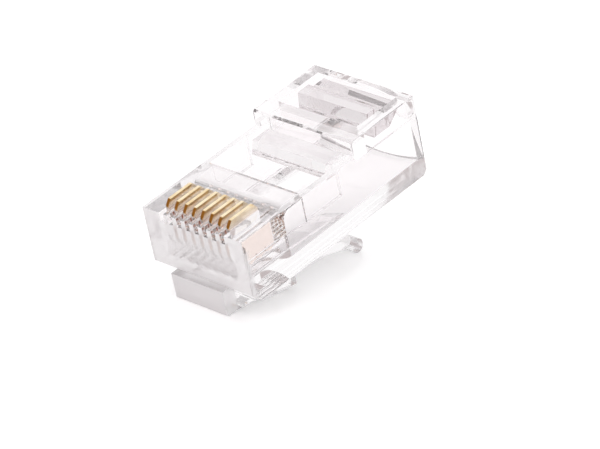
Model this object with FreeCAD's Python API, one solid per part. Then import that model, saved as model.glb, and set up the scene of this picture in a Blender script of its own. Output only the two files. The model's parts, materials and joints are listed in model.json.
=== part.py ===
import FreeCAD, Part
import math
import os

# Eight-contact modular network plug, as moulded, before crimping. Millimetres.
# Plug axes while building: X across the plug, Y from the front face to the cable end,
# Z up from the underside of the body to the contact side. At the end every solid is
# turned so that the plug lies as it comes to rest, on its nose and latch tip.

# ---- body ----
BODY_HALF_WIDTH = 5.84
BODY_LENGTH = 22.6
LOW_TOP = 6.5
HIGH_TOP = 8.0
STEP_Y = 14.4
STEP_BEVEL = 0.2
FRONT_FACE_BOTTOM = 1.0
LEAD_IN_LENGTH = 1.0
REAR_CORNER = 0.45
OUTER_ROUND = 0.08

# ---- cable cavity ----
CAVITY_HALF_WIDTH = 4.9
CHAMBER_FRONT = 5.5
CHAMBER_TOP = 5.95
CHAMBER_TOP_ROUND = 0.8
CHAMBER_REAR = 8.0
FLOOR_MIDDLE = 0.75
FLOOR_RADIUS = 15.0
CEILING = 5.65
ARCH_TOP = 6.9
ARCH_RADIUS = 5.4
ARCH_FRONT = 21.0
ENTRY_BEVEL = 0.55
ENTRY_BEVEL_BOTTOM = 1.5

# ---- wire tunnels and contact slots ----
CONTACT_COUNT = 8
PITCH = 1.02
TUNNEL_RADIUS = 0.56
TUNNEL_LOW_Z = 2.34
TUNNEL_HIGH_Z = 3.06
TUNNEL_FRONT = 1.0
BLADE_THICKNESS = 0.33
SLOT_WIDTH = 0.39
BLADE_FRONT = 0.88
BLADE_REAR = 4.40
BLADE_BEVEL = (0.42, 0.5)
SLOT_END_GAP = 0.03
FRONT_NOTCH_WIDTH = 0.5
FRONT_NOTCH_FLOOR = 5.65
BLADE_TOP = 7.26
BLADE_CHIN = (5.3, 4.9)
STROKE = 1.15
CHIN_CLEARANCE = 0.05
PRONG_FRONT = 1.15
PRONG_GAP_TOP = 3.75
PRONG_TAPER = 3.45
PRONG_TIP = 3.05
PRONG_COUNT = 3
PRONG_WIDTH = 1.0

# ---- windows and strain-relief bars ----
WIRE_WINDOW = (7.9, 12.42)
WIRE_WINDOW_HALF_WIDTH = 5.25
WIRE_WINDOW_BOTTOM = 3.65
WIRE_BAR_HALF_WIDTH = 4.3
WIRE_BAR_FRONT = 12.4
WIRE_BAR_EDGE = (11.97, 13.0)
WIRE_BAR_BOTTOM = 5.2
WIRE_BAR_SLOPE_END = -49
WIRE_RELIEF = 0.6
JACKET_WINDOW = (16.5, 21.75)
JACKET_WINDOW_HALF_WIDTH = 4.6
JACKET_BAR_HALF_WIDTH = 4.05
JACKET_RIDGE = (18.45, 19.86)
JACKET_RIDGE_EDGE = (18.15, 20.2)
JACKET_RIDGE_DROP = 0.02
JACKET_BAR_BOTTOM = 5.95
JACKET_BAR_SLOPE_END = -45
JACKET_RELIEF = 0.35
BAR_BARREL = 0.2
BAR_BARREL_END = 20
MOVING_GAP = 0.02
WIRE_HINGE = (14.3, 6.27)
JACKET_HINGE = (21.65, 7.33)

# ---- nose and latch ----
NOSE_HALF_WIDTH = 3.05
NOSE_FRONT = -0.82
NOSE_BOTTOM = -1.5
NOSE_EDGE_ROUND = 0.12
NOSE_KNEE = (0.5, -1.54)
NOSE_REAR = 2.6
NOSE_REAR_BOTTOM = -1.84
NOSE_ROOT = (1.0, 0.3)
LATCH_HINGE = (2.75, -1.3)
LATCH_BARREL = 0.6
LATCH_UNDERSIDE = [(3.67, -2.44), (7.04, -3.16), (12.5, -3.95)]
LATCH_UPPER_SIDE = [(17.18, -5.0), (15.3, -3.5), (7.5, -2.0), (3.9, -1.2)]
LATCH_NARROW_HALF_WIDTH = 1.62
LATCH_SHOULDER_Y = 7.5
TIP_CENTRE = (16.66, -5.43)
TIP_RADIUS = 0.65
TIP_ARC = (150, 270, 8)
LATCH_BARREL_ARC = (75, 180, 265)
LATCH_Z_SPAN = (-8.0, 2.0)

# ---- how far cutting shapes run past the faces they cut ----
OVERCUT = 0.1
PAST = 1.0
SAME_PLACE = 1e-6

X_AXIS = FreeCAD.Vector(1, 0, 0)
Y_AXIS = FreeCAD.Vector(0, 1, 0)


def block(half_x, y_span, z_span):
    """Box centred on X = 0."""
    corner = FreeCAD.Vector(-half_x, y_span[0], z_span[0])
    return Part.makeBox(2 * half_x, y_span[1] - y_span[0], z_span[1] - z_span[0], corner)


def side_face(points, x):
    """Flat face at one X from (y, z) points. A point given as ("arc", mid, end) bends the outline."""
    edges = []
    last = FreeCAD.Vector(x, *points[0])
    first = last
    for item in points[1:]:
        if item[0] == "arc":
            middle = FreeCAD.Vector(x, *item[1])
            end = FreeCAD.Vector(x, *item[2])
            edges.append(Part.Arc(last, middle, end).toShape())
        else:
            end = FreeCAD.Vector(x, *item)
            edges.append(Part.makeLine(last, end))
        last = end
    if last.distanceToPoint(first) > SAME_PLACE:
        edges.append(Part.makeLine(last, first))
    return Part.Face(Part.Wire(edges))


def side_prism(points, half_x, centre_x=0.0):
    """Solid with the (y, z) outline, running across X."""
    face = side_face(points, centre_x - half_x)
    return face.extrude(FreeCAD.Vector(2 * half_x, 0, 0))


def across(centre, radius, half_x):
    """Cylinder that lies across X."""
    start = FreeCAD.Vector(-half_x, centre[0], centre[1])
    return Part.makeCylinder(radius, 2 * half_x, start, X_AXIS)


def along(x, z, radius, y_span):
    """Cylinder that lies along Y."""
    start = FreeCAD.Vector(x, y_span[0], z)
    return Part.makeCylinder(radius, y_span[1] - y_span[0], start, Y_AXIS)


def contact_positions():
    """X of every contact, left to right."""
    first = -PITCH * (CONTACT_COUNT - 1) / 2
    return [first + PITCH * index for index in range(CONTACT_COUNT)]


def on_circle(centre, radius, degrees):
    """Point of a circle in the (y, z) plane."""
    turn = math.radians(degrees)
    return (centre[0] + radius * math.cos(turn), centre[1] + radius * math.sin(turn))


# ---------------------------------------------------------------- housing


def outer_block():
    """Low front part and raised rear part, with the edges of the side faces just broken."""
    low = side_prism(
        [
            (0.0, FRONT_FACE_BOTTOM),
            (0.0, LOW_TOP),
            (STEP_Y, LOW_TOP),
            (STEP_Y, HIGH_TOP - STEP_BEVEL),
            (STEP_Y + STEP_BEVEL, HIGH_TOP),
            (BODY_LENGTH, HIGH_TOP),
            (BODY_LENGTH, REAR_CORNER),
            (BODY_LENGTH - REAR_CORNER, 0.0),
            (LEAD_IN_LENGTH, 0.0),
        ],
        BODY_HALF_WIDTH,
    )
    sides = [edge for edge in low.Edges if on_side(edge) and not at_step_foot(edge)]
    return low.makeFillet(OUTER_ROUND, sides)


def on_side(edge):
    """True for the edges that bound the two side faces."""
    return all(abs(abs(corner.X) - BODY_HALF_WIDTH) < SAME_PLACE for corner in edge.Vertexes) and (
        len({round(corner.X) for corner in edge.Vertexes}) == 1
    )


def at_step_foot(edge):
    """True for the upright edges that stand on the low top at the step."""
    feet = [c for c in edge.Vertexes if abs(c.Y - STEP_Y) < SAME_PLACE and abs(c.Z - LOW_TOP) < SAME_PLACE]
    return bool(feet) and max(c.Z for c in edge.Vertexes) > LOW_TOP + SAME_PLACE


def nose():
    """Block under the front face that enters the keyway and carries the latch."""
    r = NOSE_EDGE_ROUND
    lower_front = (NOSE_FRONT + r, NOSE_BOTTOM + r)
    return side_prism(
        [
            (NOSE_FRONT, FRONT_FACE_BOTTOM),
            (NOSE_FRONT, NOSE_BOTTOM + r),
            ("arc", on_circle(lower_front, r, 225), (NOSE_FRONT + r, NOSE_BOTTOM)),
            NOSE_KNEE,
            (NOSE_REAR, NOSE_REAR_BOTTOM),
            (NOSE_REAR, NOSE_ROOT[1]),
            (NOSE_ROOT[0], FRONT_FACE_BOTTOM),
        ],
        NOSE_HALF_WIDTH,
    )


def cable_cavity():
    """Passage open at the rear: jacket room with a hollow floor, then a wire chamber up to the tunnels."""
    rear = BODY_LENGTH + PAST
    corner = (CHAMBER_FRONT + CHAMBER_TOP_ROUND, CHAMBER_TOP - CHAMBER_TOP_ROUND)
    passage = side_prism(
        [
            (CHAMBER_FRONT, 0.0),
            (CHAMBER_FRONT, corner[1]),
            ("arc", on_circle(corner, CHAMBER_TOP_ROUND, 135), (corner[0], CHAMBER_TOP)),
            (CHAMBER_REAR, CHAMBER_TOP),
            (CHAMBER_REAR, CEILING),
            (rear, CEILING),
            (rear, 0.0),
        ],
        CAVITY_HALF_WIDTH,
    )
    floor = along(0.0, FLOOR_MIDDLE + FLOOR_RADIUS, FLOOR_RADIUS, (CHAMBER_FRONT - PAST, rear + PAST))
    passage = passage.common(floor)
    arch = along(0.0, ARCH_TOP - ARCH_RADIUS, ARCH_RADIUS, (ARCH_FRONT, rear))
    arch = arch.common(block(CAVITY_HALF_WIDTH, (ARCH_FRONT, rear), (CEILING - OVERCUT, HIGH_TOP)))
    return passage.fuse(arch)


def entry_bevels():
    """Slanted inner edges of the two side walls at the cable entry."""
    inner = CAVITY_HALF_WIDTH - OVERCUT
    front = BODY_LENGTH - ENTRY_BEVEL - OVERCUT
    rear = BODY_LENGTH + OVERCUT
    outline = [
        FreeCAD.Vector(inner, front, ENTRY_BEVEL_BOTTOM),
        FreeCAD.Vector(CAVITY_HALF_WIDTH + ENTRY_BEVEL + OVERCUT, rear, ENTRY_BEVEL_BOTTOM),
        FreeCAD.Vector(inner, rear, ENTRY_BEVEL_BOTTOM),
    ]
    face = Part.Face(Part.makePolygon(outline + outline[:1]))
    right = face.extrude(FreeCAD.Vector(0, 0, CEILING - ENTRY_BEVEL_BOTTOM))
    left = right.mirror(FreeCAD.Vector(0, 0, 0), X_AXIS)
    return [right, left]


def tunnel(x):
    """Upright obround wire tunnel."""
    y_span = (TUNNEL_FRONT, CHAMBER_FRONT + OVERCUT)
    low = along(x, TUNNEL_LOW_Z, TUNNEL_RADIUS, y_span)
    high = along(x, TUNNEL_HIGH_Z, TUNNEL_RADIUS, y_span)
    corner = FreeCAD.Vector(x - TUNNEL_RADIUS, y_span[0], TUNNEL_LOW_Z)
    size = (2 * TUNNEL_RADIUS, y_span[1] - y_span[0], TUNNEL_HIGH_Z - TUNNEL_LOW_Z)
    middle = Part.makeBox(*size, corner)
    return low.fuse([high, middle])


def contact_slot(x):
    """Deep slot that holds a blade, and the notch in front of it that the mating spring enters."""
    top = LOW_TOP + PAST
    drop = STROKE + CHIN_CLEARANCE
    deep = side_prism(
        [
            (PRONG_FRONT - SLOT_END_GAP, TUNNEL_LOW_Z),
            (PRONG_FRONT - SLOT_END_GAP, BLADE_CHIN[1] - drop),
            (BLADE_FRONT - SLOT_END_GAP, BLADE_CHIN[0] - drop),
            (BLADE_FRONT - SLOT_END_GAP, top),
            (BLADE_REAR + SLOT_END_GAP, top),
            (BLADE_REAR + SLOT_END_GAP, TUNNEL_LOW_Z),
        ],
        SLOT_WIDTH / 2,
        x,
    )
    notch = side_prism(
        [
            (-PAST, FRONT_NOTCH_FLOOR),
            (-PAST, top),
            (BLADE_FRONT, top),
            (BLADE_FRONT, FRONT_NOTCH_FLOOR),
        ],
        FRONT_NOTCH_WIDTH / 2,
        x,
    )
    return deep.fuse(notch)


def windows():
    """The two openings in the top, each with a bar that is later folded down through it."""
    wire = block(WIRE_WINDOW_HALF_WIDTH, WIRE_WINDOW, (WIRE_WINDOW_BOTTOM, LOW_TOP + PAST))
    wire_low = block(CAVITY_HALF_WIDTH, (CHAMBER_REAR, STEP_Y), (WIRE_WINDOW_BOTTOM, LOW_TOP + PAST))
    jacket = block(JACKET_WINDOW_HALF_WIDTH, JACKET_WINDOW, (CEILING - OVERCUT, HIGH_TOP + PAST))
    return [wire, wire_low, jacket]


def bar_seats():
    """Hollows in which the rear edges of the two bars turn."""
    wire = across(WIRE_HINGE, BAR_BARREL + MOVING_GAP, CAVITY_HALF_WIDTH)
    jacket = across(JACKET_HINGE, BAR_BARREL + MOVING_GAP, JACKET_WINDOW_HALF_WIDTH)
    wire_relief = side_prism(
        [
            (STEP_Y - OVERCUT, WIRE_HINGE[1]),
            (WIRE_HINGE[0] + BAR_BARREL + MOVING_GAP, WIRE_HINGE[1]),
            (STEP_Y + WIRE_RELIEF, CEILING - OVERCUT),
            (STEP_Y - OVERCUT, CEILING - OVERCUT),
        ],
        CAVITY_HALF_WIDTH,
    )
    jacket_relief = side_prism(
        [
            (JACKET_WINDOW[1] - OVERCUT, JACKET_HINGE[1]),
            (JACKET_HINGE[0] + BAR_BARREL + MOVING_GAP, JACKET_HINGE[1]),
            (JACKET_WINDOW[1] + JACKET_RELIEF, CEILING - OVERCUT),
            (JACKET_WINDOW[1] - OVERCUT, CEILING - OVERCUT),
        ],
        JACKET_WINDOW_HALF_WIDTH,
    )
    return [wire, jacket, wire_relief, jacket_relief]


def latch_seat():
    """Round hollow at the back of the nose in which the root of the latch turns."""
    return across(LATCH_HINGE, LATCH_BARREL + MOVING_GAP, NOSE_HALF_WIDTH + PAST)


def housing():
    """Clear body: outer block and nose, less every hollow."""
    body = outer_block().fuse(nose())
    cutters = [cable_cavity()]
    cutters += entry_bevels()
    cutters += [tunnel(x) for x in contact_positions()]
    cutters += [contact_slot(x) for x in contact_positions()]
    cutters += windows()
    cutters += bar_seats()
    cutters.append(latch_seat())
    return body.cut(cutters).removeSplitter()


# ---------------------------------------------------------------- moving parts


def conductor_bar():
    """Bar that is folded down on the wires. Its rear upper edge is the hinge."""
    top = WIRE_HINGE[1] + BAR_BARREL
    return side_prism(
        [
            (WIRE_BAR_FRONT, top),
            (WIRE_BAR_EDGE[0], WIRE_BAR_BOTTOM),
            (WIRE_BAR_EDGE[1], WIRE_BAR_BOTTOM),
            on_circle(WIRE_HINGE, BAR_BARREL, WIRE_BAR_SLOPE_END),
            ("arc", on_circle(WIRE_HINGE, BAR_BARREL, BAR_BARREL_END), (WIRE_HINGE[0], top)),
        ],
        WIRE_BAR_HALF_WIDTH,
    )


def jacket_bar():
    """Bar that is folded down on the cable jacket. A ridge in front, a thinner plate to the hinge."""
    ridge_top = HIGH_TOP - JACKET_RIDGE_DROP
    plate_top = JACKET_HINGE[1] + BAR_BARREL
    return side_prism(
        [
            (JACKET_RIDGE[0], ridge_top),
            (JACKET_RIDGE_EDGE[0], JACKET_BAR_BOTTOM),
            (JACKET_RIDGE_EDGE[1], JACKET_BAR_BOTTOM),
            on_circle(JACKET_HINGE, BAR_BARREL, JACKET_BAR_SLOPE_END),
            ("arc", on_circle(JACKET_HINGE, BAR_BARREL, BAR_BARREL_END), (JACKET_HINGE[0], plate_top)),
            (JACKET_RIDGE[1], plate_top),
            (JACKET_RIDGE[1], ridge_top),
        ],
        JACKET_BAR_HALF_WIDTH,
    )


def latch_outline():
    """(y, z) outline of the latch from the hinge barrel to the rounded tip."""
    barrel = [on_circle(LATCH_HINGE, LATCH_BARREL, degrees) for degrees in LATCH_BARREL_ARC]
    tip = [on_circle(TIP_CENTRE, TIP_RADIUS, degrees) for degrees in TIP_ARC]
    return [
        barrel[0],
        ("arc", barrel[1], barrel[2]),
        *LATCH_UNDERSIDE,
        tip[0],
        ("arc", tip[1], tip[2]),
        *LATCH_UPPER_SIDE,
    ]


def latch_lever():
    """Spring latch: wide from the nose to the two catch shoulders, then a narrow finger lever."""
    whole = side_prism(latch_outline(), NOSE_HALF_WIDTH)
    wide = block(NOSE_HALF_WIDTH, (0.0, LATCH_SHOULDER_Y), LATCH_Z_SPAN)
    narrow = block(LATCH_NARROW_HALF_WIDTH, (0.0, BODY_LENGTH), LATCH_Z_SPAN)
    return whole.common(wide.fuse(narrow)).removeSplitter()


def contact_blade(x):
    """Stamped blade: piercing prongs below, set back under a chin, and two bevelled top corners."""
    bevel_y, bevel_z = BLADE_BEVEL
    step = (BLADE_REAR - PRONG_FRONT - PRONG_WIDTH) / (PRONG_COUNT - 1)
    points = [
        (BLADE_FRONT, BLADE_TOP - bevel_z),
        (BLADE_FRONT + bevel_y, BLADE_TOP),
        (BLADE_REAR - bevel_y, BLADE_TOP),
        (BLADE_REAR, BLADE_TOP - bevel_z),
    ]
    for index in reversed(range(PRONG_COUNT)):
        front = PRONG_FRONT + index * step
        rear = front + PRONG_WIDTH
        if index < PRONG_COUNT - 1:
            points.append((rear, PRONG_GAP_TOP))
        points += [(rear, PRONG_TAPER), ((front + rear) / 2, PRONG_TIP), (front, PRONG_TAPER)]
        if index > 0:
            points.append((front, PRONG_GAP_TOP))
    points += [(PRONG_FRONT, BLADE_CHIN[1]), (BLADE_FRONT, BLADE_CHIN[0])]
    return side_prism(points, BLADE_THICKNESS / 2, x)


# ---------------------------------------------------------------- at rest


def rest_angle():
    """Pitch at which the rounded nose edge and the rounded latch tip both touch a level floor."""
    across_y = TIP_CENTRE[0] - (NOSE_FRONT + NOSE_EDGE_ROUND)
    across_z = TIP_CENTRE[1] - (NOSE_BOTTOM + NOSE_EDGE_ROUND)
    reach = math.hypot(across_y, across_z)
    return math.asin((TIP_RADIUS - NOSE_EDGE_ROUND) / reach) - math.atan2(across_z, across_y)


def settle(shapes):
    """Turns the plug to its rest pitch and puts the bottom centre of its bounding box at the origin."""
    turned = {}
    for name, shape in shapes.items():
        copy = shape.copy()
        copy.rotate(FreeCAD.Vector(0, 0, 0), X_AXIS, math.degrees(rest_angle()))
        turned[name] = copy
    box = Part.makeCompound(list(turned.values())).optimalBoundingBox(False)
    shift = FreeCAD.Vector(0, -(box.YMin + box.YMax) / 2, -box.ZMin)
    for shape in turned.values():
        shape.translate(shift)
    return turned


def main():
    """Builds every piece, lays the plug down and writes one file for each."""
    shapes = {
        "housing": housing(),
        "latch_lever": latch_lever(),
        "conductor_bar": conductor_bar(),
        "jacket_bar": jacket_bar(),
    }
    for number, x in enumerate(contact_positions(), start=1):
        shapes["contact_%d" % number] = contact_blade(x)
    os.makedirs("parts", exist_ok=True)
    for name, shape in settle(shapes).items():
        solid = shape.Solids[0]
        print(name, "solids", len(shape.Solids), "valid", solid.isValid(), "mm3", round(solid.Volume, 2))
        solid.exportStep("parts/%s.step" % name)


main()
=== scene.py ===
"""Clear eight-contact modular plug, uncrimped, lying on its nose and latch tip in a plain white studio.

The clear moulding is one piece: the housing and its spring latch run into each other at the root of the
latch. The two strain-relief bars and the eight gold-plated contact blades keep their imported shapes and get
their finishes here. Places on the plug are given in millimetres along its own axes, which are found from
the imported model's mounts and joints.
"""

import json
import logging
import math
from dataclasses import dataclass, field
from enum import Enum

import bmesh
import bpy
from mathutils import Matrix, Quaternion, Vector
from mathutils.kdtree import KDTree


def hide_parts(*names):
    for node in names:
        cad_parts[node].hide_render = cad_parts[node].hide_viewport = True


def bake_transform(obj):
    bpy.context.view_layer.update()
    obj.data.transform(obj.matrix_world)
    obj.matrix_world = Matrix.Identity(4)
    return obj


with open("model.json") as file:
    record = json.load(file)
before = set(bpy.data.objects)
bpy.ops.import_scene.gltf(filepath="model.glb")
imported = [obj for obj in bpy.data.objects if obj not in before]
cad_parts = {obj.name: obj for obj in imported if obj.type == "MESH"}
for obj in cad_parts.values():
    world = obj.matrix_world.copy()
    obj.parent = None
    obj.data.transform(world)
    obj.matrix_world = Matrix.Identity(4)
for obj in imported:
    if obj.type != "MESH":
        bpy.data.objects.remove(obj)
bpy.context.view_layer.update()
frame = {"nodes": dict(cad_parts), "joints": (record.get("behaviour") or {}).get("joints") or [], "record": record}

MM = 0.001
LOG = logging.getLogger("modular_plug")

Tree = bpy.types.ShaderNodeTree
Socket = bpy.types.NodeSocket
Span = tuple[float, float]
Triple = tuple[float, float, float]
Colour = tuple[float, float, float, float]


class Calculation(Enum):
    """Ways in which values are combined."""

    PRODUCT = "MULTIPLY"
    LARGEST = "MAXIMUM"


class Passage(Enum):
    """Ways in which a value passes from one end of its range to the other."""

    SMOOTH = "SMOOTHSTEP"
    EVEN = "LINEAR"


# ---------------------------------------------------------------- plug axes


@dataclass
class PlugAxes:
    """The plug's own axes: Y from the front face to the cable end, Z up from the underside of its body."""

    hinge_y: float = 2.75
    hinge_z: float = -1.3
    turn: Matrix = field(init=False)
    origin: Vector = field(init=False)

    def __post_init__(self) -> None:
        """Reads the pitch from the front mount and the place from the latch's hinge."""
        mounts = {mount["name"]: mount for mount in frame["record"]["mounts"]}
        joints = {joint["name"]: joint for joint in frame["joints"]}
        forward = Vector(mounts["front_face"]["axis"])
        pitch = math.atan2(-forward.z, -forward.y)
        self.turn = Matrix.Rotation(pitch, 3, "X")
        hinge = Vector(joints["latch_hinge"]["pos_m"])
        self.origin = hinge - self.turn @ Vector((0.0, self.hinge_y, self.hinge_z)) * MM

    @property
    def across(self) -> Vector:
        """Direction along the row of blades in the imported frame."""
        return self.turn @ Vector((1.0, 0.0, 0.0))

    @property
    def back(self) -> Vector:
        """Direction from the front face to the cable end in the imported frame."""
        return self.turn @ Vector((0.0, 1.0, 0.0))

    @property
    def up(self) -> Vector:
        """Upward direction of the plug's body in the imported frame."""
        return self.turn @ Vector((0.0, 0.0, 1.0))

    def place(self, x: float, y: float, z: float) -> Vector:
        """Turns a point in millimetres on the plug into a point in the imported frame."""
        return self.origin + self.turn @ Vector((x, y, z)) * MM


# ---------------------------------------------------------------- building blocks of the finishes


def new_material(name: str) -> tuple[bpy.types.Material, Tree, bpy.types.ShaderNode]:
    """Makes an empty node material with a Principled shader.

    Args:
        name: Name of the material.

    Returns:
        The material, its node tree and its Principled node.
    """
    material = bpy.data.materials.new(name)
    material.use_nodes = True
    tree = material.node_tree
    tree.nodes.clear()
    output = tree.nodes.new("ShaderNodeOutputMaterial")
    shader = tree.nodes.new("ShaderNodeBsdfPrincipled")
    tree.links.new(shader.outputs["BSDF"], output.inputs["Surface"])
    return material, tree, shader


def object_coordinates(tree: Tree, stretch: Triple = (1.0, 1.0, 1.0)) -> Socket:
    """Object coordinates scaled along each axis.

    Args:
        tree: Node tree to add to.
        stretch: Scale along X, Y and Z.

    Returns:
        The scaled coordinate socket.
    """
    place = tree.nodes.new("ShaderNodeTexCoord")
    mapping = tree.nodes.new("ShaderNodeMapping")
    mapping.inputs["Scale"].default_value = stretch
    tree.links.new(place.outputs["Object"], mapping.inputs["Vector"])
    return mapping.outputs["Vector"]


def noise(tree: Tree, vector: Socket, scale: float, detail: float) -> Socket:
    """Noise value between 0 and 1.

    Args:
        tree: Node tree to add to.
        vector: Coordinates to read.
        scale: Repeats per metre.
        detail: Octaves of finer noise.

    Returns:
        The noise value socket.
    """
    node = tree.nodes.new("ShaderNodeTexNoise")
    node.inputs["Scale"].default_value = scale
    node.inputs["Detail"].default_value = detail
    tree.links.new(vector, node.inputs["Vector"])
    return node.outputs["Fac"]


def remap(tree: Tree, value: Socket, source: Span, target: Span, passage: Passage = Passage.SMOOTH) -> Socket:
    """Maps a value from one range to another, and holds it at the ends.

    Args:
        tree: Node tree to add to.
        value: Socket to map.
        source: Range read.
        target: Range given.
        passage: How the value passes from one end to the other.

    Returns:
        The mapped socket.
    """
    node = tree.nodes.new("ShaderNodeMapRange")
    node.interpolation_type = passage.value
    node.inputs["From Min"].default_value, node.inputs["From Max"].default_value = source
    node.inputs["To Min"].default_value, node.inputs["To Max"].default_value = target
    tree.links.new(value, node.inputs["Value"])
    return node.outputs["Result"]


def rising(tree: Tree, value: Socket, span: Span, full: float = 1.0) -> Socket:
    """0 below a range and full above it.

    Args:
        tree: Node tree to add to.
        value: Socket that is followed.
        span: Range over which the result rises.
        full: Result above the range.

    Returns:
        The result socket.
    """
    return remap(tree, value, span, (0.0, full))


def falling(tree: Tree, value: Socket, span: Span, full: float = 1.0) -> Socket:
    """Full below a range and 0 above it.

    Args:
        tree: Node tree to add to.
        value: Socket that is followed.
        span: Range over which the result falls.
        full: Result below the range.

    Returns:
        The result socket.
    """
    return remap(tree, value, span, (full, 0.0))


def combined(tree: Tree, calculation: Calculation, *values: Socket) -> Socket:
    """Result of one calculation over two or more values.

    Args:
        tree: Node tree to add to.
        calculation: How the values are combined.
        values: The values, in order.

    Returns:
        The result socket.
    """
    result = values[0]
    for value in values[1:]:
        node = tree.nodes.new("ShaderNodeMath")
        node.operation = calculation.value
        tree.links.new(result, node.inputs[0])
        tree.links.new(value, node.inputs[1])
        result = node.outputs["Value"]
    return result


def mixed(tree: Tree, amount: Socket, under: Colour | Socket, over: Colour | Socket) -> Socket:
    """Lays one colour over another, each given as numbers or as a socket.

    Args:
        tree: Node tree to add to.
        amount: How much of the upper colour shows.
        under: Lower colour.
        over: Upper colour.

    Returns:
        The mixed colour.
    """
    mix = tree.nodes.new("ShaderNodeMix")
    mix.data_type = "RGBA"
    tree.links.new(amount, mix.inputs["Factor"])
    for name, colour in (("A", under), ("B", over)):
        if isinstance(colour, tuple):
            mix.inputs[name].default_value = colour
        else:
            tree.links.new(colour, mix.inputs[name])
    return mix.outputs["Result"]


def bump(tree: Tree, height: Socket, depth: float, below: Socket | None = None) -> Socket:
    """Bump from a height value.

    Args:
        tree: Node tree to add to.
        height: Height socket, 0 to 1.
        depth: Height of the bump in metres.
        below: Normal of a coarser bump under this one.

    Returns:
        The bumped normal socket.
    """
    node = tree.nodes.new("ShaderNodeBump")
    node.inputs["Distance"].default_value = depth
    tree.links.new(height, node.inputs["Height"])
    if below is not None:
        tree.links.new(below, node.inputs["Normal"])
    return node.outputs["Normal"]


def along_plug(tree: Tree, axes: PlugAxes, way: Vector) -> Socket:
    """Distance along one of the plug's own axes, in millimetres.

    Args:
        tree: Node tree to add to.
        axes: The plug's own axes.
        way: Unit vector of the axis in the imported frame.

    Returns:
        The distance socket.
    """
    place = tree.nodes.new("ShaderNodeTexCoord")
    measured = tree.nodes.new("ShaderNodeVectorMath")
    measured.operation = "DOT_PRODUCT"
    measured.inputs[1].default_value = way / MM
    tree.links.new(place.outputs["Object"], measured.inputs[0])
    offset = tree.nodes.new("ShaderNodeMath")
    offset.operation = "SUBTRACT"
    offset.inputs[1].default_value = way.dot(axes.origin) / MM
    tree.links.new(measured.outputs["Value"], offset.inputs[0])
    return offset.outputs["Value"]


def surface_facing(tree: Tree, way: Vector) -> Socket:
    """How far a surface faces a direction, from -1 to 1.

    Args:
        tree: Node tree to add to.
        way: Direction compared with.

    Returns:
        The cosine socket.
    """
    surface = tree.nodes.new("ShaderNodeNewGeometry")
    facing = tree.nodes.new("ShaderNodeVectorMath")
    facing.operation = "DOT_PRODUCT"
    facing.inputs[1].default_value = way
    tree.links.new(surface.outputs["True Normal"], facing.inputs[0])
    return facing.outputs["Value"]


def dress(piece: bpy.types.Object, material: bpy.types.Material) -> None:
    """Gives a piece one material.

    Args:
        piece: Mesh object.
        material: Its finish.
    """
    slots = piece.data.materials
    if len(slots):
        for index in range(len(slots)):
            slots[index] = material
    else:
        slots.append(material)


# ---------------------------------------------------------------- finishes


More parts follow.
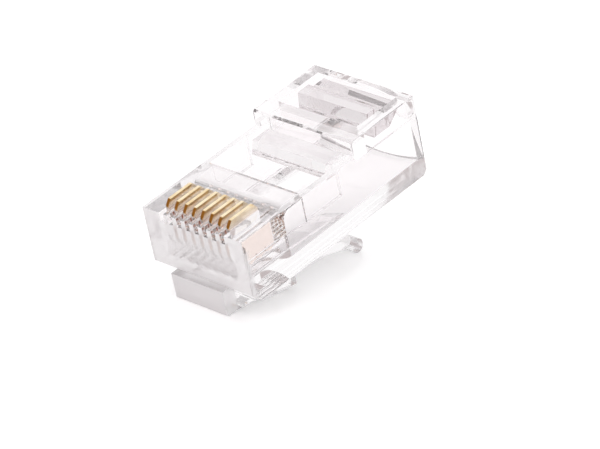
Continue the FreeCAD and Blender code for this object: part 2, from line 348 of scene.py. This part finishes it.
@dataclass(frozen=True)
class ClearPlastic:
    """Clear moulded polycarbonate: glossy, with faint flow waves.

    It is satin and milky on the nose, on the front face and on the blind ends close behind it, and hazy on
    the margin behind the face and on the land between the blades and the window. The bottom corner at the
    cable end and the latch tip are satin. Names with behind and before give distances from the front face,
    and names with above and below give heights over the underside of the body, in millimetres.
    """

    name: str = "clear_polycarbonate"
    tint: Colour = (0.978, 0.962, 0.968, 1.0)
    bends_light: float = 1.585
    flow_stretch: Triple = (1.0, 0.35, 1.0)
    wave_scale: float = 320.0
    wave_detail: float = 1.0
    wave_depth: float = 1.2e-6
    wave_range: Span = (0.35, 0.75)
    polish: Span = (0.004, 0.03)
    grain_scale: float = 5200.0
    grain_detail: float = 2.0
    grain_depth: float = 1.5e-7
    facing_front: Span = (0.3, 0.6)
    nose_satin: float = 0.24
    nose_haze: float = 0.9
    nose_before: Span = (1.0, 1.4)
    nose_below: Span = (0.95, 1.25)
    face_satin: float = 0.05
    face_haze: float = 0.6
    face_before: Span = (0.35, 0.6)
    ends_satin: float = 0.14
    ends_haze: float = 0.08
    ends_before: Span = (1.2, 1.3)
    margin_haze: float = 0.55
    margin_before: Span = (0.3, 0.8)
    margin_below: Span = (5.0, 5.6)
    land_haze: float = 0.22
    land_behind: Span = (4.5, 4.7)
    land_before: Span = (7.7, 7.88)
    land_above: Span = (6.4, 6.46)
    corner_satin: float = 0.16
    corner_behind: Span = (18.8, 19.4)
    corner_below: Span = (0.3, 0.6)
    tip_satin: float = 0.2
    tip_behind: Span = (15.8, 16.3)
    tip_below: Span = (-4.9, -4.6)

    def skin(self, tree: Tree, axes: PlugAxes, on_nose: float, on_face: float, on_ends: float) -> Socket:
        """Value that is raised on the surfaces that face the front, and 0 on the rest.

        Args:
            tree: Node tree to add to.
            axes: The plug's own axes.
            on_nose: Value on the nose.
            on_face: Value on the front face.
            on_ends: Value on the blind ends of the tunnels and slots behind it.

        Returns:
            The value socket.
        """
        back, height = along_plug(tree, axes, axes.back), along_plug(tree, axes, axes.up)
        nose = combined(
            tree,
            Calculation.PRODUCT,
            falling(tree, back, self.nose_before),
            falling(tree, height, self.nose_below, on_nose),
        )
        face = falling(tree, back, self.face_before, on_face)
        ends = combined(
            tree,
            Calculation.PRODUCT,
            rising(tree, back, self.face_before, on_ends),
            falling(tree, back, self.ends_before),
        )
        value = combined(tree, Calculation.LARGEST, face, ends, nose)
        return combined(tree, Calculation.PRODUCT, value, self.towards_front(tree, axes))

    def towards_front(self, tree: Tree, axes: PlugAxes) -> Socket:
        """1 on surfaces square to the length of the plug, and 0 on its sides, top and underside.

        Args:
            tree: Node tree to add to.
            axes: The plug's own axes.

        Returns:
            The value socket.
        """
        size = tree.nodes.new("ShaderNodeMath")
        size.operation = "ABSOLUTE"
        tree.links.new(surface_facing(tree, axes.back), size.inputs[0])
        return rising(tree, size.outputs["Value"], self.facing_front)

    def low_rear(self, tree: Tree, axes: PlugAxes, value: float, behind: Span, below: Span) -> Socket:
        """Value that is raised behind one place along the plug and below one height.

        Args:
            tree: Node tree to add to.
            axes: The plug's own axes.
            value: Value given there.
            behind: Distances from the front face over which it sets in.
            below: Heights over which it fades out.

        Returns:
            The value socket, 0 elsewhere.
        """
        rear = rising(tree, along_plug(tree, axes, axes.back), behind, value)
        low = falling(tree, along_plug(tree, axes, axes.up), below)
        return combined(tree, Calculation.PRODUCT, rear, low)

    def haze(self, tree: Tree, axes: PlugAxes) -> Socket:
        """Share of the light that the milky places scatter instead of letting it through.

        Args:
            tree: Node tree to add to.
            axes: The plug's own axes.

        Returns:
            The value socket, 0 on the clear rest.
        """
        back, height = along_plug(tree, axes, axes.back), along_plug(tree, axes, axes.up)
        front = self.skin(tree, axes, self.nose_haze, self.face_haze, self.ends_haze)
        margin = combined(
            tree,
            Calculation.PRODUCT,
            falling(tree, back, self.margin_before, self.margin_haze),
            falling(tree, height, self.margin_below),
        )
        land = combined(
            tree,
            Calculation.PRODUCT,
            rising(tree, back, self.land_behind),
            falling(tree, back, self.land_before),
            rising(tree, height, self.land_above, self.land_haze),
        )
        return combined(tree, Calculation.LARGEST, front, margin, land)

    def roughness(self, tree: Tree, axes: PlugAxes, wave: Socket) -> Socket:
        """Polish that varies with the flow waves, and the satin places.

        Args:
            tree: Node tree to add to.
            axes: The plug's own axes.
            wave: Flow waves, 0 to 1.

        Returns:
            The roughness socket.
        """
        polish = remap(tree, wave, self.wave_range, self.polish)
        front = self.skin(tree, axes, self.nose_satin, self.face_satin, self.ends_satin)
        corner = self.low_rear(tree, axes, self.corner_satin, self.corner_behind, self.corner_below)
        tip = self.low_rear(tree, axes, self.tip_satin, self.tip_behind, self.tip_below)
        return combined(tree, Calculation.LARGEST, polish, front, corner, tip)

    def build(self, axes: PlugAxes) -> bpy.types.Material:
        """Makes the material.

        Args:
            axes: The plug's own axes, for where the satin and milky places lie.

        Returns:
            The finished clear material.
        """
        material, tree, shader = new_material(self.name)
        shader.inputs["Base Color"].default_value = self.tint
        shader.inputs["IOR"].default_value = self.bends_light
        clear = remap(tree, self.haze(tree, axes), (0.0, 1.0), (1.0, 0.0), Passage.EVEN)
        tree.links.new(clear, shader.inputs["Transmission Weight"])
        along_flow = object_coordinates(tree, self.flow_stretch)
        wave = noise(tree, along_flow, self.wave_scale, self.wave_detail)
        grain = noise(tree, along_flow, self.grain_scale, self.grain_detail)
        tree.links.new(self.roughness(tree, axes, wave), shader.inputs["Roughness"])
        coarse = bump(tree, wave, self.wave_depth)
        tree.links.new(bump(tree, grain, self.grain_depth, coarse), shader.inputs["Normal"])
        return material


@dataclass(frozen=True)
class ContactPlating:
    """Plating of a stamped blade: gold where it touches the jack, paler bare bronze towards its prongs.

    The upper part of the flank that faces the negative way across the row is darkened with painted shade, for the
    shade between neighbouring blades, and the upper part of the cut front end is a dark brown that is partly the
    bare sheared metal and partly a painted dark reflection. Names with above give heights over the underside of
    the body, in millimetres, and names with facing give how far a surface faces across the row or backwards, from
    -1 to 1.
    """

    name: str = "contact_plating"
    gold_light: Colour = (1.0, 0.86, 0.62, 1.0)
    gold_deep: Colour = (0.90, 0.70, 0.42, 1.0)
    gold_above: Span = (6.2, 7.3)
    bronze: Colour = (0.94, 0.85, 0.79, 1.0)
    cloud_scale: float = 900.0
    cloud_detail: float = 2.0
    cloud_range: Span = (0.3, 0.6)
    line_stretch: Triple = (0.3, 1.0, 0.06)
    line_scale: float = 9000.0
    line_detail: float = 2.0
    line_depth: float = 4.0e-7
    line_range: Span = (0.3, 0.7)
    polish: Span = (0.07, 0.18)
    # Painted shade on the upper part of the flank that faces the negative way across the row.
    flank_painted_shade: Colour = (0.62, 0.48, 0.29, 1.0)
    flank_shade_above: Span = (6.2, 6.5)
    flank_shade_facing: Span = (-0.9, -0.6)
    # Cut front end: partly bare sheared metal and partly a painted dark reflection.
    sheared_and_dark_reflection: Colour = (0.50, 0.22, 0.03, 1.0)
    sheared_and_reflection_above: Span = (6.5, 6.66)
    sheared_and_reflection_facing: Span = (-0.6, -0.35)

    def build(self, axes: PlugAxes) -> bpy.types.Material:
        """Makes the material.

        Args:
            axes: The plug's own axes, for where the gold ends.

        Returns:
            The finished blade material.
        """
        material, tree, shader = new_material(self.name)
        shader.inputs["Metallic"].default_value = 1.0
        cloudy = noise(tree, object_coordinates(tree), self.cloud_scale, self.cloud_detail)
        lines = noise(tree, object_coordinates(tree, self.line_stretch), self.line_scale, self.line_detail)
        height = along_plug(tree, axes, axes.up)
        gold = mixed(tree, rising(tree, cloudy, self.cloud_range), self.gold_deep, self.gold_light)
        colour = mixed(tree, rising(tree, height, self.gold_above), self.bronze, gold)
        # Painted shade: the upper part of the flank facing the negative way across the row is darkened, for the
        # shade between neighbouring blades.
        flank = falling(tree, surface_facing(tree, axes.across), self.flank_shade_facing)
        flank_shade = combined(tree, Calculation.PRODUCT, flank, rising(tree, height, self.flank_shade_above))
        colour = mixed(tree, flank_shade, colour, self.flank_painted_shade)
        # Upper part of the cut front end: dark brown that is partly bare sheared metal and partly a painted dark
        # reflection.
        end = falling(tree, surface_facing(tree, axes.back), self.sheared_and_reflection_facing)
        bare_and_reflection = combined(tree, Calculation.PRODUCT, end, rising(tree, height, self.sheared_and_reflection_above))
        tree.links.new(mixed(tree, bare_and_reflection, colour, self.sheared_and_dark_reflection), shader.inputs["Base Color"])
        tree.links.new(remap(tree, lines, self.line_range, self.polish), shader.inputs["Roughness"])
        tree.links.new(bump(tree, lines, self.line_depth), shader.inputs["Normal"])
        return material


# ---------------------------------------------------------------- clear moulding


@dataclass
class ClearMoulding:
    """Housing and spring latch, one moulding joined at the root of the latch.

    Sizes and places are in millimetres, and angles in degrees. The reach is in metres.
    """

    axes: PlugAxes
    finish: bpy.types.Material
    slot: str = "clear_plastic"
    root_radius: float = 0.64
    root_half_width: float = 3.04
    root_sides: int = 48
    bend_start: Triple = (0.0, 2.75, -1.5575)
    bend_end: Triple = (0.0, 2.816, -2.503)
    weld_distance: float = 2.0e-4
    smooth_below: float = 28.0
    crease_above: float = 2.0
    reach: float = 2.0e-6

    def solid_from(self, node: str) -> bpy.types.Object:
        """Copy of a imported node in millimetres, with the seams between its faces closed.

        Args:
            node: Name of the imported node.

        Returns:
            The copy.
        """
        source = frame["nodes"][node]
        mesh = source.data.copy()
        work = bmesh.new()
        work.from_mesh(mesh)
        bmesh.ops.scale(work, vec=(1 / MM, 1 / MM, 1 / MM), verts=work.verts)
        bmesh.ops.remove_doubles(work, verts=work.verts, dist=self.weld_distance)
        bmesh.ops.dissolve_degenerate(work, dist=self.weld_distance, edges=work.edges)
        work.to_mesh(mesh)
        work.free()
        piece = bpy.data.objects.new("copy_of_" + node, mesh)
        bpy.context.scene.collection.objects.link(piece)
        return piece

    def root(self) -> bpy.types.Object:
        """Round bar that joins the latch to the nose along the hinge line.

        Returns:
            The bar, in millimetres.
        """
        middle = self.axes.place(0.0, self.axes.hinge_y, self.axes.hinge_z) / MM
        across = Matrix.Rotation(math.radians(90.0), 4, "Y")
        work = bmesh.new()
        bmesh.ops.create_cone(
            work,
            cap_ends=True,
            segments=self.root_sides,
            radius1=self.root_radius,
            radius2=self.root_radius,
            depth=2 * self.root_half_width,
            matrix=Matrix.Translation(middle) @ across,
        )
        mesh = bpy.data.meshes.new("latch_root")
        work.to_mesh(mesh)
        work.free()
        piece = bpy.data.objects.new("latch_root", mesh)
        bpy.context.scene.collection.objects.link(piece)
        return piece

    def join(self, body: bpy.types.Object, part: bpy.types.Object) -> None:
        """Adds one closed solid to another, with no wall left between them.

        Args:
            body: Solid that grows.
            part: Solid that is added and then removed.
        """
        union = body.modifiers.new("join", "BOOLEAN")
        union.operation = "UNION"
        union.solver = "EXACT"
        union.object = part
        self.apply(body)
        bpy.data.objects.remove(part)

    def apply(self, piece: bpy.types.Object) -> None:
        """Makes the result of a piece's modifiers its own mesh.

        Args:
            piece: Mesh object with modifiers.
        """
        bpy.context.view_layer.update()
        depsgraph = bpy.context.evaluated_depsgraph_get()
        made = bpy.data.meshes.new_from_object(piece.evaluated_get(depsgraph))
        piece.modifiers.clear()
        piece.data = made

    def finish_mesh(self, piece: bpy.types.Object) -> None:
        """Back to metres, with flat faces kept flat and round ones smooth.

        Args:
            piece: The joined moulding.
        """
        work = bmesh.new()
        work.from_mesh(piece.data)
        bmesh.ops.remove_doubles(work, verts=work.verts, dist=self.weld_distance)
        bmesh.ops.dissolve_degenerate(work, dist=self.weld_distance, edges=work.edges)
        bmesh.ops.scale(work, vec=(MM, MM, MM), verts=work.verts)
        bmesh.ops.recalc_face_normals(work, faces=work.faces)
        open_edges = sum(1 for edge in work.edges if not edge.is_manifold)
        LOG.info("clear moulding: %d faces, %d open edges", len(work.faces), open_edges)
        for face in work.faces:
            face.smooth = True
        work.to_mesh(piece.data)
        work.free()
        piece.data.set_sharp_from_angle(angle=math.radians(self.smooth_below))

    def keep_directions(self, piece: bpy.types.Object, *nodes: str) -> None:
        """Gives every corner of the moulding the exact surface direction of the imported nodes.

        Args:
            piece: The joined moulding, in metres.
            nodes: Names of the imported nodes.
        """
        sources = [frame["nodes"][node].data for node in nodes]
        directions = [Vector(normal.vector) for mesh in sources for normal in mesh.corner_normals]
        spots = [mesh.vertices[loop.vertex_index].co for mesh in sources for loop in mesh.loops]
        near = KDTree(len(spots))
        for index, spot in enumerate(spots):
            near.insert(spot, index)
        near.balance()
        limit = math.cos(math.radians(self.smooth_below))
        mesh = piece.data
        found = [Vector(normal.vector) for normal in mesh.corner_normals]
        for face in mesh.polygons:
            for corner in face.loop_indices:
                spot = mesh.vertices[mesh.loops[corner].vertex_index].co
                choices = [directions[index] for _, index, _ in near.find_range(spot, self.reach)]
                best = max(choices, key=face.normal.dot, default=face.normal)
                if choices and best.dot(face.normal) > limit:
                    found[corner] = best
        self.mark_creases(mesh, found)
        mesh.normals_split_custom_set(found)

    def mark_creases(self, mesh: bpy.types.Mesh, directions: list[Vector]) -> None:
        """Marks the edges whose two faces have different directions.

        Args:
            mesh: Mesh of the moulding.
            directions: Surface direction at every corner.
        """
        at_edge: dict[int, dict[int, list[Vector]]] = {}
        for face in mesh.polygons:
            corners = list(face.loop_indices)
            for corner, following in zip(corners, corners[1:] + corners[:1]):
                ends = at_edge.setdefault(mesh.loops[corner].edge_index, {})
                for end in (corner, following):
                    ends.setdefault(mesh.loops[end].vertex_index, []).append(directions[end])
        limit = math.cos(math.radians(self.crease_above))
        for edge, ends in at_edge.items():
            smooth = all(len(pair) == 2 and pair[0].dot(pair[1]) > limit for pair in ends.values())
            mesh.edges[edge].use_edge_sharp = not smooth

    def build(self) -> bpy.types.Object:
        """Makes the moulding and hides the housing's and the latch's imported bodies.

        Returns:
            The clear moulding.
        """
        piece = self.solid_from("housing")
        self.join(piece, self.root())
        self.join(piece, self.solid_from("latch_lever"))
        piece.name = "clear_moulding"
        piece.data.name = "clear_moulding"
        self.finish_mesh(piece)
        self.keep_directions(piece, "housing", "latch_lever")
        piece.data.materials.clear()
        dress(piece, self.finish)
        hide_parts("housing", "latch_lever")
        start, end = self.axes.place(*self.bend_start), self.axes.place(*self.bend_end)
        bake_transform(piece)
        return piece


# ---------------------------------------------------------------- bars and blades


@dataclass
class ReliefBars:
    """The two clear bars that are folded down on the wires and on the cable jacket, dressed in darker tinted
    copies of the clear plastic as painted shade.
    """

    wire_bar_shaded_finish: bpy.types.Material
    jacket_bar_shaded_finish: bpy.types.Material

    def build(self) -> list[bpy.types.Object]:
        """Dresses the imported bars.

        Returns:
            The bars.
        """
        wire_bar, jacket_bar = frame["nodes"]["conductor_bar"], frame["nodes"]["jacket_bar"]
        dress(wire_bar, self.wire_bar_shaded_finish)
        dress(jacket_bar, self.jacket_bar_shaded_finish)
        return [wire_bar, jacket_bar]


@dataclass
class ContactBlades:
    """The eight gold-plated contact blades."""

    finish: bpy.types.Material

    def build(self) -> list[bpy.types.Object]:
        """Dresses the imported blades.

        Returns:
            The blades, by number.
        """
        names = sorted(name for name in frame["nodes"] if name.startswith("contact_"))
        pieces = [frame["nodes"][name] for name in names]
        for piece in pieces:
            dress(piece, self.finish)
        return pieces


# ---------------------------------------------------------------- studio


@dataclass
class Studio:
    """White table, even light from above and all round, and the camera.

    Lengths are in metres, but the lens and the sensor are in millimetres, and angles are in degrees.
    """

    azimuth: float = 43.068
    elevation: float = 22.152
    roll: float = 0.0444
    distance: float = 0.30316
    aim: Triple = (0.0012304, 0.0004041, 0.0046612)
    lens: float = 210.8
    sensor: float = 36.0
    sees_from: float = 0.01
    sees_to: float = 20.0
    floor_side: float = 3.0
    floor_colour: Colour = (0.94, 0.94, 0.94, 1.0)
    floor_polish: float = 0.08
    lift: float = 0.34
    lift_through: float = 0.18
    white: Colour = (1.0, 1.0, 1.0, 1.0)
    room_colour: Colour = (0.93, 0.89, 0.902, 1.0)
    room_rise: float = 0.1
    room_span: Span = (0.0, 0.6)
    patch_colour: Colour = (0.54, 0.48, 0.48, 1.0)
    patch_way: Triple = (-0.63, -0.70, 0.33)
    patch_span: Span = (0.82, 0.96)
    clear_bounces: int = 64
    gloss_bounces: int = 64
    diffuse_bounces: int = 4
    see_through_layers: int = 16

    def camera(self) -> bpy.types.Object:
        """Camera that looks down on the corner between the plug's front and its right side.

        Returns:
            The camera.
        """
        data = bpy.data.cameras.new("camera")
        data.lens = self.lens
        data.sensor_width = self.sensor
        data.clip_start = self.sees_from
        data.clip_end = self.sees_to
        camera = bpy.data.objects.new("camera", data)
        bpy.context.scene.collection.objects.link(camera)
        turn, rise = math.radians(self.azimuth), math.radians(self.elevation)
        back = Vector((math.sin(turn) * math.cos(rise), -math.cos(turn) * math.cos(rise), math.sin(rise)))
        camera.rotation_mode = "QUATERNION"
        level = back.to_track_quat("Z", "Y")
        camera.rotation_quaternion = level @ Quaternion((0.0, 0.0, 1.0), math.radians(self.roll))
        camera.location = Vector(self.aim) + back * self.distance
        bpy.context.scene.camera = camera
        return camera

    def floor(self) -> bpy.types.Object:
        """Glossy white table.

        Returns:
            The floor.
        """
        half = self.floor_side / 2
        corners = [(-half, -half, 0.0), (half, -half, 0.0), (half, half, 0.0), (-half, half, 0.0)]
        mesh = bpy.data.meshes.new("floor")
        mesh.from_pydata(corners, [], [(0, 1, 2, 3)])
        floor = bpy.data.objects.new("floor", mesh)
        bpy.context.scene.collection.objects.link(floor)
        material, tree, shader = new_material("white_table")
        shader.inputs["Base Color"].default_value = self.floor_colour
        shader.inputs["Roughness"].default_value = self.floor_polish
        shader.inputs["Emission Color"].default_value = self.white
        path = tree.nodes.new("ShaderNodeLightPath")
        through = combined(
            tree, Calculation.LARGEST, path.outputs["Is Transmission Ray"], path.outputs["Is Glossy Ray"]
        )
        lift = combined(
            tree,
            Calculation.LARGEST,
            rising(tree, path.outputs["Is Camera Ray"], (0.0, 1.0), self.lift),
            rising(tree, through, (0.0, 1.0), self.lift_through),
        )
        tree.links.new(lift, shader.inputs["Emission Strength"])
        dress(floor, material)
        return floor

    def facing(self, tree: Tree, way: Vector, span: Span) -> Socket:
        """How far a direction of the surroundings lies towards a given way, from 0 to 1.

        Args:
            tree: Node tree to add to.
            way: Direction compared with.
            span: Cosines at which the value starts and is full.

        Returns:
            The socket.
        """
        place = tree.nodes.new("ShaderNodeTexCoord")
        towards = tree.nodes.new("ShaderNodeVectorMath")
        towards.operation = "DOT_PRODUCT"
        towards.inputs[1].default_value = way.normalized()
        tree.links.new(place.outputs["Generated"], towards.inputs[0])
        return rising(tree, towards.outputs["Value"], span)

    def world(self) -> None:
        """White all round, with a dimmer rose-grey room in front of the plug and one dark patch beside it."""
        world = bpy.data.worlds.new("studio")
        world.use_nodes = True
        bpy.context.scene.world = world
        tree = world.node_tree
        tree.nodes.clear()
        output = tree.nodes.new("ShaderNodeOutputWorld")
        background = tree.nodes.new("ShaderNodeBackground")
        path = tree.nodes.new("ShaderNodeLightPath")
        turn = math.radians(self.azimuth)
        room = self.facing(tree, Vector((math.sin(turn), -math.cos(turn), self.room_rise)), self.room_span)
        patch = self.facing(tree, Vector(self.patch_way), self.patch_span)
        colour = mixed(tree, room, self.white, self.room_colour)
        colour = mixed(tree, patch, colour, self.patch_colour)
        colour = mixed(tree, path.outputs["Is Camera Ray"], colour, self.white)
        tree.links.new(colour, background.inputs["Color"])
        tree.links.new(background.outputs["Background"], output.inputs["Surface"])

    def build(self) -> None:
        """Sets up floor, light, camera and how light is followed through the clear plastic."""
        scene = bpy.context.scene
        scene.view_settings.view_transform = "Standard"
        cycles = scene.cycles
        cycles.max_bounces = self.clear_bounces
        cycles.transmission_bounces = self.clear_bounces
        cycles.glossy_bounces = self.gloss_bounces
        cycles.diffuse_bounces = self.diffuse_bounces
        cycles.transparent_max_bounces = self.see_through_layers
        self.floor()
        self.world()
        self.camera()


def main() -> None:
    """Builds the moulding, the bars, the blades and the studio."""
    logging.basicConfig(level=logging.INFO)
    axes = PlugAxes()
    clear = ClearPlastic().build(axes)
    # The bars are the same clear plastic as the housing; their darker tints are painted shade, deepest on the
    # jacket bar.
    wire_bar_shaded_finish = ClearPlastic(name="clear_wire_bar_painted_shade", tint=(0.955, 0.938, 0.944, 1.0)).build(axes)
    jacket_bar_shaded_finish = ClearPlastic(name="clear_jacket_bar_painted_shade", tint=(0.8, 0.765, 0.775, 1.0)).build(axes)
    gold = ContactPlating().build(axes)
    moulding = ClearMoulding(axes, clear).build()
    LOG.info("%s: %d faces", moulding.name, len(moulding.data.polygons))
    for piece in ReliefBars(wire_bar_shaded_finish, jacket_bar_shaded_finish).build() + ContactBlades(gold).build():
        LOG.info("%s: %d faces", piece.name, len(piece.data.polygons))
    Studio().build()


if __name__ == "__main__":
    main()
